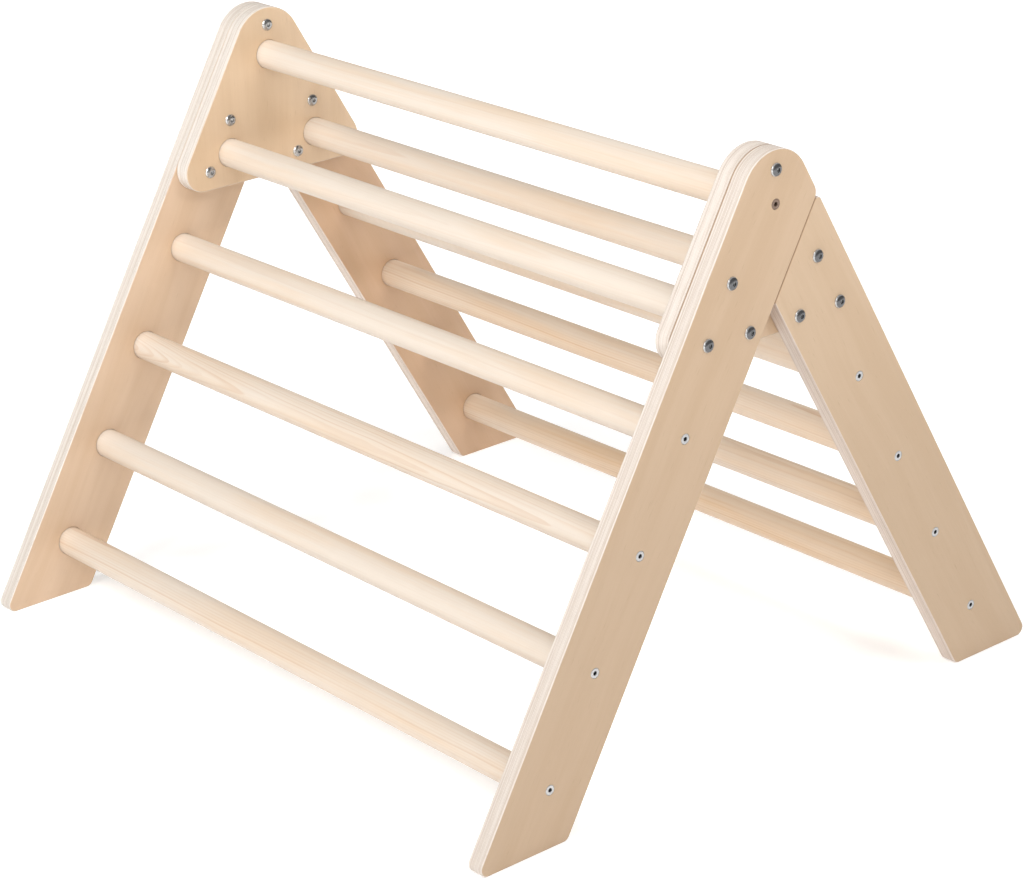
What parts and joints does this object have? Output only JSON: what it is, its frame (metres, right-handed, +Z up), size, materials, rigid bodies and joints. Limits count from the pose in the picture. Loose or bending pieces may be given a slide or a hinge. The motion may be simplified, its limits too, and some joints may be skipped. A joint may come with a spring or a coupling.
{
  "type": "toddler climbing triangle",
  "caption": "Free-standing wooden climbing triangle for toddlers: A-shaped plywood side frames joined by round wooden rungs that form a ladder up each sloping face.",
  "frame": {"origin": "on the floor, midway between the two side frames and between the front and rear feet", "axes": "+X along the rungs, +Y from the front ladder to the rear ladder, +Z up"},
  "size_m": [0.7826, 0.7162, 0.5829],
  "materials": {
    "birch_plywood": "clear matt lacquer, with the plies showing on the edges",
    "pine_dowel": "sanded and clear matt lacquered",
    "polished_steel": "bright nickel plate",
    "zinc_steel": "bright zinc plate",
    "dark_steel": "dark bronze plate"
  },
  "bodies": {
    "root": {"front_leg_right": "birch_plywood", "rear_leg_right": "birch_plywood", "gusset_right": "birch_plywood", "front_leg_left": "birch_plywood", "rear_leg_left": "birch_plywood", "gusset_left": "birch_plywood", "rung_top": "pine_dowel", "rung_front_1": "pine_dowel", "rung_front_2": "pine_dowel", "rung_front_3": "pine_dowel", "rung_front_4": "pine_dowel", "rung_front_5": "pine_dowel", "rung_rear_1": "pine_dowel", "rung_rear_2": "pine_dowel", "rung_rear_3": "pine_dowel", "rung_rear_4": "pine_dowel", "rung_rear_5": "pine_dowel", "gusset_bolts_right": "polished_steel", "gusset_cap_nuts_right": "polished_steel", "rung_screws_right": "zinc_steel", "top_rung_screw_right": "dark_steel", "hidden_rung_screws_right": "zinc_steel", "gusset_bolts_left": "polished_steel", "gusset_cap_nuts_left": "polished_steel", "rung_screws_left": "zinc_steel", "top_rung_screw_left": "dark_steel", "hidden_rung_screws_left": "zinc_steel"}
  },
  "joints": []
}
